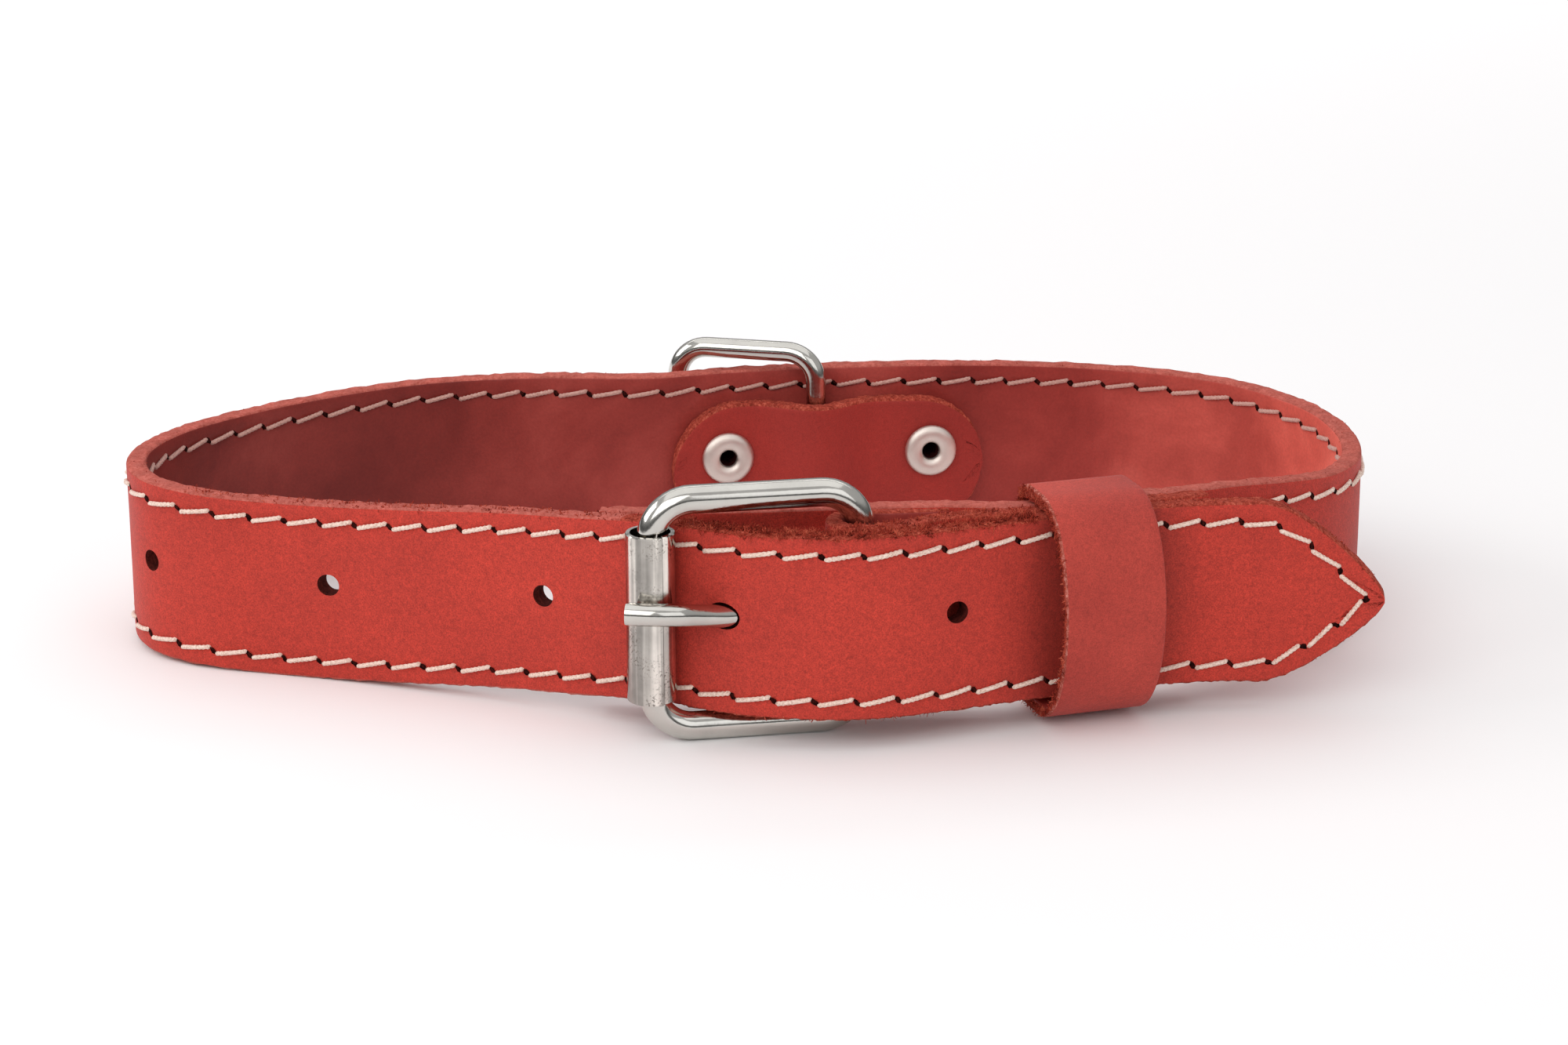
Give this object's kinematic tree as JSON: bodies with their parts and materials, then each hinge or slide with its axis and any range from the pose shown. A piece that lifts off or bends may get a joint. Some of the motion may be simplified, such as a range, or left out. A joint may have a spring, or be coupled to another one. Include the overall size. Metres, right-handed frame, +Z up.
{
  "type": "dog collar",
  "caption": "Stitched leather dog collar, fastened, with a roller buckle, a leather keeper and a lead ring under a riveted leather tab.",
  "frame": {"origin": "middle of the collar's overall box, on the floor under it", "axes": "+Z up, along the width of the strap; -Y towards the buckle; +X from the buckle towards the strap's pointed end"},
  "size_m": [0.1744, 0.098, 0.0348],
  "materials": {
    "strap_leather": "matt coral-red leather with a fine nap",
    "keeper_leather": "smooth pinkish-red leather",
    "nickel_wire": "polished nickel plating, lightly worn",
    "nickel_sheet": "nickel-plated rolled sheet, pitted",
    "rivet_metal": "satin plated steel"
  },
  "bodies": {
    "collar": {"strap": "strap_leather", "chape": "strap_leather", "keeper": "keeper_leather", "buckle_frame": "nickel_wire", "prong": "nickel_wire", "ring_tab": "strap_leather", "rivet_left": "rivet_metal", "rivet_right": "rivet_metal"},
    "roller": {"roller": "nickel_sheet"},
    "ring": {"ring": "nickel_wire"}
  },
  "joints": [
    {"name": "roller_spin", "type": "hinge", "parent": "collar", "child": "roller", "pos_m": [-0.01219, -0.0424, 0.0174], "axis": [0, 0, 1], "continuous": true},
    {"name": "ring_swing", "type": "hinge", "parent": "collar", "child": "ring", "pos_m": [0.00988, 0.03639, 0.0165], "axis": [0, 0, -1], "range_deg": [0, 130]}
  ]
}
